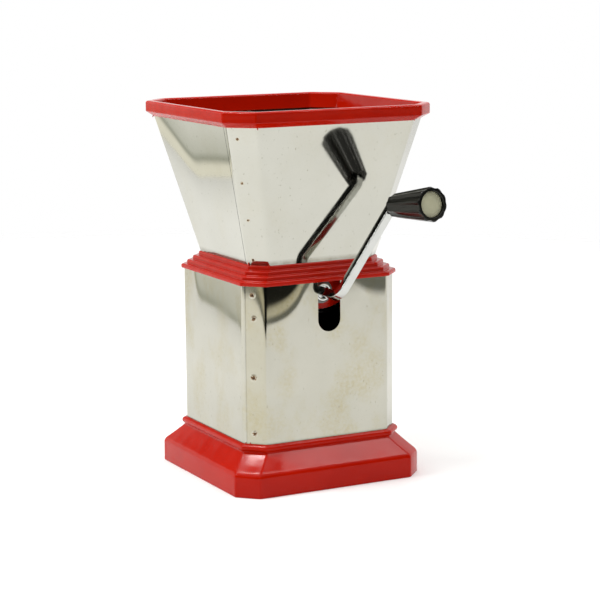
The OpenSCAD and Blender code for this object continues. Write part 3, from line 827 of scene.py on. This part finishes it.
def growFrom(name, mesh, tree, values, material, sharpAngle=32):
    seed = bpy.data.objects.new(name + "_seed", mesh)
    scene.collection.objects.link(seed)
    modifier = seed.modifiers.new("grow", "NODES")
    modifier.node_group = tree
    for item in tree.interface.items_tree:
        if item.in_out == "INPUT" and item.name in values:
            modifier[item.identifier] = values[item.name]
    return bake(seed, name, material, sharpAngle)


def pointMesh(name, points, edges, attributes):
    mesh = bpy.data.meshes.new(name)
    mesh.from_pydata([tuple(p) for p in points], edges, [])
    for key, (kind, rows) in attributes.items():
        layer = mesh.attributes.new(key, kind, "POINT")
        for item, row in zip(layer.data, rows):
            if kind == "FLOAT":
                item.value = row
            else:
                item.vector = row
    return mesh


# Crank bar: a rounded square drawn along its bent path, then turned with the crank

bearing = {"bushOut": 0.5 * mm, "endPlay": 0.2 * mm, "collar": 2.4 * mm, "soft": 0.35 * mm}
bushFront = -boxHalf - cutterBox["boss"] - bearing["bushOut"]
journalFront = bushFront - bearing["endPlay"] - bearing["collar"]
bar = {
    "side": 6 * mm, "edge": 0.5 * mm, "lowCorner": 76.5 * mm, "lowBend": 9 * mm, "highBend": 4.6 * mm,
    "insideKnob": 39 * mm, "rearEnd": bearing["endPlay"] - bushFront, "overlap": 1 * mm,
    "thread": 2.5 * mm, "threadLength": 4.8 * mm, "threadFine": 0.12 * mm, "threadTip": 0.4 * mm,
    "neck": 2 * mm, "neckLength": 1.2 * mm, "head": 3.6 * mm, "headHeight": 2 * mm,
    "headAngles": (0.3, 0.7, 1.1, 1.4),
}


def barTree():
    tree, add, given = startTree("bent_bar", Side="Float", Edge="Float", Height="Float", Turn="Vector")
    path = add("GeometryNodeMeshToCurve", given["Geometry"])
    bends = add("GeometryNodeInputNamedAttribute", "bend", data_type="FLOAT")
    path = add("GeometryNodeFilletCurve", path, sockets={"Count": 14, "Radius": bends}, mode="POLY")
    square = add("GeometryNodeCurvePrimitiveQuadrilateral", given["Side"], given["Side"])
    edges = {"Count": 4, "Radius": given["Edge"]}
    square = add("GeometryNodeFilletCurve", square, sockets=edges, mode="POLY")
    solid = add("GeometryNodeCurveToMesh", path, square, sockets={"Fill Caps": True})
    up = add("CombineXYZ", 0, 0, given["Height"])
    return endTree(tree, add, add("GeometryNodeTransform", solid, up, given["Turn"]), bright)


def makeBar():
    size = bar
    overlap, tip, fine = size["overlap"], size["threadTip"], size["threadFine"]
    out = Vector((0, knobAxis.y, 0)) + Vector((0, 0, math.hypot(knobAxis.x, knobAxis.z)))
    reach = math.hypot(knobPoint.x, knobPoint.z - shaftPoint.z)
    high = Vector((0, knobPoint.y, reach))
    points = [(0, size["rearEnd"], 0), (0, -size["lowCorner"], 0), high, high + out * size["insideKnob"]]
    bends = [0, size["lowBend"], size["highBend"], 0]
    edges = [(0, 1), (1, 2), (2, 3)]
    mesh = pointMesh("bar_path", points, edges, {"bend": ("FLOAT", bends)})
    values = {"Side": size["side"], "Edge": size["edge"], "Height": shaftPoint.z, "Turn": (0, crankAngle, 0)}
    body = growFrom("bar", mesh, barTree(), values, bright, sharpAngle=40)
    radius, length, pitch = size["thread"], size["threadLength"], 5 * fine
    profile = [(0, -overlap), (radius, -overlap)]
    for i in range(int(length / pitch)):
        low = pitch * i
        profile += [(radius, low), (radius, low + fine), (radius - 2 * fine, low + 3 * fine)]
    profile += [(radius, length), (radius - tip, length + tip), (0, length + tip)]
    thread = lathe("thread", profile, Vector((0, size["rearEnd"], shaftPoint.z)), (0, 1, 0), bright, steps=48)
    neck, start, wide, tall = size["neck"], size["neckLength"], size["head"], size["headHeight"]
    profile = [(0, -overlap), (neck, -overlap), (neck, start), (wide, start)]
    profile += [(wide * math.cos(a), start + tall * math.sin(a)) for a in size["headAngles"]]
    profile += [(0, start + tall)]
    rivet = lathe("rivet", profile, knobPoint + knobAxis * size["insideKnob"], knobAxis, bright, steps=48)
    return joinInto("crank_bar", [body, thread, rivet])


barPiece = makeBar()
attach(barPiece, "crank")
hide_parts("crank_rod")
print("crank bar made")


# Front bearing: the bush in the frame and the plated journal that turns in it

bushBore = 5.55 * mm
journal = {
    "outer": 6.25 * mm, "stem": 5.5 * mm, "cup": 4.45 * mm, "cupDepth": 2.2 * mm, "square": 3.05 * mm,
    "past": 0.3 * mm,
}
crankUp = Vector((math.sin(crankAngle), 0, math.cos(crankAngle)))


def makeBush():
    inner, outer, long, soft = bushBore, cutterBox["bush"], -throatHalf - bushFront, bearing["soft"]
    profile = [(inner, soft), (inner + soft, 0)] + arc((outer - soft, soft), soft, -90, 0, 4)
    profile += arc((outer - soft, long - soft), soft, 0, 90, 4) + [(inner + soft, long), (inner, long - soft)]
    return lathe("bush", profile, Vector((0, bushFront, shaftPoint.z)), (0, 1, 0), nylon)


def makeJournal():
    outer, stem, cup, square = (journal[key] for key in ("outer", "stem", "cup", "square"))
    collar, soft, deep = bearing["collar"], bearing["soft"], journal["cupDepth"]
    long = -throatHalf + journal["past"] - journalFront
    profile = [(cup, soft)] + arc((cup + soft, soft), soft, 180, 270, 4)
    profile += arc((outer - soft, soft), soft, -90, 0, 4) + arc((outer - soft, collar - soft), soft, 0, 90, 4)
    profile += [(stem, collar), (stem, long - soft), (stem - soft, long)]
    profile += [(square, long), (square, deep), (cup, deep)]

    def keyed(radius, height, angle):
        flat = square / max(abs(math.cos(angle)), abs(math.sin(angle)))
        return flat if radius == square else radius

    start = Vector((0, journalFront, shaftPoint.z))
    return lathe("journal", profile, start, (0, 1, 0), bright, crankUp, shape=keyed)


bushPiece = makeBush()
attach(bushPiece, "upper")
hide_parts("front_bush")
journalPiece = makeJournal()
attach(journalPiece, "crank")
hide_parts("front_journal")
print("front bearing made")


# Knob: a fluted taper with a recessed cap

grip = {
    "from": 3.8 * mm, "length": 44 * mm, "inner": 8.3 * mm, "outer": 11.9 * mm, "round": 1.2 * mm,
    "flutes": 10, "fluteDepth": 1 * mm, "flute": 6 * mm, "skin": 1.9 * mm, "bore": 4.3 * mm, "lip": 0.3 * mm,
    "cavity": 7 * mm, "seat": 35 * mm, "cap": 8.9 * mm, "capDepth": 2 * mm, "capThick": 2 * mm,
    "capEdge": 0.5 * mm, "capDome": ((0.6, 0.06 * mm), (0.3, 0.1 * mm), (0, 0.12 * mm)),
}
knobSide = Vector((math.cos(crankAngle), 0, -math.sin(crankAngle)))


def makeKnob():
    size = grip
    long, soft, lip, bore = size["length"], size["round"], size["lip"], size["bore"]
    inner, outer, flute = size["inner"], size["outer"], size["flute"]
    lean = math.degrees(math.atan2(outer - inner, long))
    nearArc = arc((inner - soft, soft), soft, -90, -lean, 6)
    farArc = arc((outer - soft, long - soft), soft, -lean, 90, 6)
    recess = long - size["capDepth"] - size["capThick"]
    capBore = size["cap"] + fit
    profile = [(bore, 0)] + nearArc + between(nearArc[-1], farArc[0], 16) + farArc
    profile += [(capBore + lip, long), (capBore, long - lip), (capBore, recess)]
    profile += [(size["cavity"], recess), (size["cavity"], size["seat"]), (bore, size["seat"])]

    def fluted(radius, height, angle):
        wall = inner + (outer - inner) * height / long
        if radius < wall - size["skin"]:
            return radius
        centre = wall - size["fluteDepth"] + flute
        step = 2 * math.pi / size["flutes"]
        off = (angle + step / 2) % step - step / 2
        inside = flute ** 2 - (centre * math.sin(off)) ** 2
        return min(radius, centre * math.cos(off) - math.sqrt(inside)) if inside > 0 else radius

    start = knobPoint + knobAxis * size["from"]
    return lathe("grip", profile, start, knobAxis, black, knobSide, steps=240, shape=fluted, sharpAngle=35)


def makeCap():
    radius, thick, soft = grip["cap"], grip["capThick"], grip["capEdge"]
    start = knobPoint + knobAxis * (grip["from"] + grip["length"] - grip["capDepth"] - thick)
    profile = [(0, 0), (radius, 0)] + arc((radius - soft, thick - soft), soft, 0, 80, 5)
    profile += [(radius * share, thick + rise) for share, rise in grip["capDome"]]
    return lathe("cap", profile, start, knobAxis, pale)


gripPiece = makeKnob()
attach(gripPiece, "knob")
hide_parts("knob")
capPiece = makeCap()
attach(capPiece, "knob")
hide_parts("knob_cap")
print("knob made")


# Spot welds along the lapped corners, each at a height and a way in from the strip's first bend, in mm

welds = {
    "radius": {"hopper": 1.4 * mm, "container": 2.4 * mm}, "sizes": (0.75, 1.2), "above": 0.02 * mm,
    "rise": 0.09 * mm, "section": ((0, 0.3), (0.3, 0.35), (0.52, 1), (0.78, 0.4), (1, 0)),
    "hopper": ((161.2, 1.7), (189.8, 2.9), (216.1, 3.0), (246.5, 4.7)),
    "container": ((41.4, 6.5), (80.7, 6.1), (122.2, 6.8), (138.4, 5.8)),
}


def weldTree():
    tree, add, given = startTree("spot_welds", Radius="Float", Rise="Float", Seed="Int")
    links = {"Vertices": 24, "Side Segments": 8, "Radius Bottom": given["Radius"], "Depth": 0}
    disc = add("GeometryNodeMeshCone", sockets=links, fill_type="NONE")
    away = add("VectorMath", add("GeometryNodeInputPosition"), operation="LENGTH")
    spread = add("Math", away, given["Radius"], operation="DIVIDE")
    stored = {"Name": "spread", "Value": spread}
    disc = add("GeometryNodeStoreNamedAttribute", disc, sockets=stored, data_type="FLOAT")
    lift = add("FloatCurve", 1, spread)
    setCurve(lift.node, welds["section"])
    lift = add("Math", lift, given["Rise"], operation="MULTIPLY")
    disc = add("GeometryNodeSetPosition", disc, sockets={"Offset": add("CombineXYZ", 0, 0, lift)})
    return endTree(tree, add, scatter(add, given, disc, welds["sizes"]), weld)


# Points on the front left corner strip
def stripPoints(spots, halfAt, lean):
    points = []
    facing = Vector((-slope, -slope, -lean)).normalized()
    for z, inset in spots:
        half = halfAt(z * mm)
        x, y = bendArc(half, cornerShare * half, bendRadius, 4)[-1]
        spot = Vector((x + inset * mm * slope, y - inset * mm * slope, z * mm))
        points.append(spot + facing * welds["above"])
    return points, [facing] * len(points)


spotWelds = weldTree()
for name, body, halfAt, lean, seed in (
    ("hopper", "upper", hopperHalf, hopperLean, 3),
    ("container", "container", lambda z: containerHalf, 0, 5),
):
    points, facings = stripPoints(welds[name], halfAt, lean)
    mesh = pointMesh(name + "_weld_points", points, [], {"facing": ("FLOAT_VECTOR", facings)})
    values = {"Radius": welds["radius"][name], "Rise": welds["rise"], "Seed": seed}
    piece = growFrom(name + "_welds", mesh, spotWelds, values, weld)
    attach(piece, body)
print("spot welds made")


# Moulding flash: ragged nubs on the ring beside the hopper's bends and under the rim, and small ones
# on the plinth's collar. Each row has a height, the bends beside it and ways on from them, up or down,
# and how deep they sit
flash = {
    "radius": 0.75 * mm, "length": 2.6 * mm, "tip": 0.25, "bumpsPerMetre": 900, "sizes": (0.65, 1.15),
    "out": 0.5 * mm, "lean": 0.25, "collarShare": 0.9,
    "upper": (
        (ringTop, ((4, 0), (5, 0)), 1, 0.7 * mm),
        (rimBottom + rim["skirt"], ((5, 0), (6, 0), (3, 0)), -1, 1.6 * mm),
    ),
    "container": ((collarTop, ((4, 2 * mm), (4, 5.2 * mm)), 1, 1.1 * mm),),
}


def flashTree():
    tree, add, given = startTree("moulding_flash", Radius="Float", Length="Float", Seed="Int")
    tip = add("Math", given["Radius"], flash["tip"], operation="MULTIPLY")
    links = {"Radius Bottom": given["Radius"], "Radius Top": tip, "Depth": given["Length"]}
    nub = add("GeometryNodeMeshCone", sockets={"Vertices": 14, "Side Segments": 6, **links})
    ragged = add("TexNoise", sockets={"Scale": flash["bumpsPerMetre"], "Detail": 1}, give="Color")
    ragged = add("VectorMath", ragged, (0.5, 0.5, 0.5), operation="SUBTRACT")
    ragged = add("VectorMath", ragged, given["Radius"], operation="SCALE")
    nub = add("GeometryNodeSetPosition", nub, sockets={"Offset": ragged})
    return endTree(tree, add, scatter(add, given, nub, flash["sizes"]), red)


def makeFlash(name, body, halfAt, share, seed):
    points, facings = [], []
    for z, bends, way, sunk in flash[body]:
        half = halfAt(z)
        for bend, slide in bends:
            x, y = bendArc(half, cornerShare * half, bendRadius, bend)[3]  # the middle of the bend
            x, y = x + slide * slope, y - slide * slope
            out = Vector((x, y, 0)).normalized()
            points.append(Vector((x, y, z - way * sunk)) + out * flash["out"])
            facings.append(Vector((out.x * flash["lean"], out.y * flash["lean"], way)).normalized())
    mesh = pointMesh(name + "_points", points, [], {"facing": ("FLOAT_VECTOR", facings)})
    values = {"Radius": flash["radius"] * share, "Length": flash["length"] * share, "Seed": seed}
    piece = growFrom(name, mesh, flashes, values, red, sharpAngle=50)
    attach(piece, body)


flashes = flashTree()
makeFlash("moulding_flash", "upper", hopperHalf, 1, 4)
makeFlash("collar_flash", "container", lambda z: containerHalf, flash["collarShare"], 6)
print("moulding flash made")


# Materials of the nodes that stay as they are

for name, node in frame["nodes"].items():
    if name.startswith("blade") or name.endswith("comb"):
        finish = ground
    elif name.startswith("spacer") or name.endswith("bush"):
        finish = nylon
    else:
        finish = bright
    node.data.materials.clear()
    node.data.materials.append(finish)
print("carried-over nodes finished")


# Floor: a disc of white paper that fades out at its edge

sweep = {"centre": (-0.0575, 0.11), "radius": 1.2, "fade": 0.2, "glow": 0.1}


def makeStage():
    paper, add, place = startMaterial("white_paper")
    away = add("VectorMath", place, (*sweep["centre"], 0), operation="DISTANCE")
    endMaterial(paper, add, {
        "Alpha": add("MapRange", away, sweep["radius"] - sweep["fade"], sweep["radius"], 1, 0),
        "Base Color": linear("#F4F4F3"),
        "Roughness": 0.9,
        "Emission Color": linear("#FFFFFF"),
        "Emission Strength": sweep["glow"],
    })
    edge = arc(sweep["centre"], sweep["radius"], 0, 360, 120)[:-1]
    floor = meshObject("floor", [(x, y, 0) for x, y in edge], [tuple(range(len(edge)))], paper)


# The room that the sheets mirror, by degrees above the horizon: dark at the front, darkest a little to its
# left, and dim at the back left
room = {
    "ahead": (0.4667, 0.8844, 0), "across": (0.8844, -0.4667, 0), "sideways": (-0.46, 0.888, 0),
    "fades": {"ahead": (0.2, -0.15), "across": (0.2, 0.45), "sideways": (0.7, 0.86)},  # cosines
    "backStrength": 1.35, "lowest": -20, "highest": 60,
    "tones": {
        "front": (
            (-13, "#848680"), (-5.2, "#888A83"), (-3.2, "#F0EBD6"), (-0.4, "#DCD8C4"),
            (1.8, "#282926"), (24, "#1C1D1B"), (40, "#FFFFFF"),
        ),
        "night": ((-20, "#101110"), (24, "#101110"), (40, "#FFFFFF")),
        "back": (
            (-13, "#F2EFE2"), (-8.4, "#FBF8EA"), (-7, "#F6F3E6"), (-5.2, "#AFB1A5"), (-3.4, "#D6D7CE"),
            (3, "#ECECE6"), (12, "#F6F6F2"), (18, "#F0F0EA"), (23, "#6E6E6A"), (34, "#6A6A66"),
            (48, "#DCDCDC"),
        ),
    },
}


# White at the back and above, with the room's tones elsewhere. Looked at straight, all of it is white
def makeWorld():
    world = bpy.data.worlds.new("studio")
    scene.world = world
    world.use_nodes = True
    world.node_tree.nodes.clear()
    add = partial(addNode, world.node_tree)
    white = linear("#FFFFFF")
    lowest, highest = room["lowest"], room["highest"]
    parts = add("SeparateXYZ", add("TexCoord", give="Generated")).node.outputs
    tilt = add("Math", add("Math", parts["Z"], operation="ARCSINE"), operation="DEGREES")
    tilt = add("MapRange", tilt, lowest, highest, 0, 1)
    tones = {}
    for side, rows in room["tones"].items():
        tones[side] = add("ValToRGB", tilt)
        stops = tones[side].node.color_ramp.elements
        while len(stops) < len(rows):
            stops.new(0.5)
        for stop, (at, tone) in zip(stops, rows):
            stop.position, stop.color = (at - lowest) / (highest - lowest), linear(tone)
    flat = add("VectorMath", add("CombineXYZ", parts["X"], parts["Y"]), operation="NORMALIZE")
    ways, fades = {}, room["fades"]
    for way in fades:
        ways[way] = add("VectorMath", flat, room[way], operation="DOT_PRODUCT")
    beside = add("MapRange", ways["sideways"], *fades["sideways"], 0, 1)
    behind = add("MapRange", ways["ahead"], *fades["ahead"], 0, 1)
    off = add("MapRange", add("Math", ways["across"], operation="ABSOLUTE"), *fades["across"], 0, 1)
    back = add("VectorMath", tones["back"], room["backStrength"], operation="SCALE")
    front = add("Mix", off, tones["night"], tones["front"], data_type="RGBA")
    tone = add("Mix", beside, white, back, data_type="RGBA")
    tone = add("Mix", behind, tone, front, data_type="RGBA")
    tone = add("Mix", add("LightPath", give="Is Camera Ray"), tone, white, data_type="RGBA")
    add("OutputWorld", add("Background", tone, 1))


# Light: each lamp has its place, what it looks at, its size and its power

lamps = {
    "top_softbox": ((-0.55, 0, 1.3), (0, 0, 0.1), (0.45, 0.45), 2.4),
    "front_softbox": ((0.72, -0.58, 1.25), (0.72, -0.58, 0), (0.5, 0.42), 5),
    "overhead_lamp": ((0.06, -0.04, 1.5), (0, 0, 0.1), (0.22, 0.1), 1.5),
    "back_lamp": ((-0.42, 0.72, 1.15), (0, 0, 0.1), (0.2, 0.1), 1.5),
    "corner_lamp": ((-0.41, 0.15, 1.31), (-0.06, -0.06, 0.02), (0.14, 0.1), 2.6),
    "left_softbox": ((-1.3, 0.1, 1), (0, 0, 0.13), (0.5, 0.5), 8),
}


def makeLamp(name, place, aim, size, power):
    data = bpy.data.lights.new(name, "AREA")
    data.shape = "RECTANGLE"
    data.size, data.size_y = size
    data.energy = power
    lamp = bpy.data.objects.new(name, data)
    lamp.location = place
    lamp.rotation_mode = "QUATERNION"
    lamp.rotation_quaternion = (Vector(aim) - Vector(place)).to_track_quat("-Z", "Y")
    scene.collection.objects.link(lamp)


# Camera

view = {
    "azimuth": -27.65, "elevation": 9.87, "roll": -0.47, "distance": 1.4155,
    "target": (0.01008, 0, 0.12158), "lens": 117.5, "sensor": 36, "clip": (0.05, 50),
}


def makeCamera():
    a, e, r = (math.radians(view[key]) for key in ("azimuth", "elevation", "roll"))
    back = Vector((math.sin(a) * math.cos(e), -math.cos(a) * math.cos(e), math.sin(e)))
    data = bpy.data.cameras.new("camera")
    data.lens, data.sensor_width = view["lens"], view["sensor"]
    data.clip_start, data.clip_end = view["clip"]
    camera = bpy.data.objects.new("camera", data)
    camera.rotation_mode = "QUATERNION"
    camera.location = Vector(view["target"]) + back * view["distance"]
    aim = (-back).to_track_quat("-Z", "Y")
    camera.rotation_quaternion = aim @ Matrix.Rotation(r, 3, "Z").to_quaternion()
    scene.collection.objects.link(camera)
    scene.camera = camera


makeStage()
makeWorld()
for name, row in lamps.items():
    makeLamp(name, *row)
makeCamera()
scene.view_settings.view_transform = "Standard"
print("stage, light and camera made")
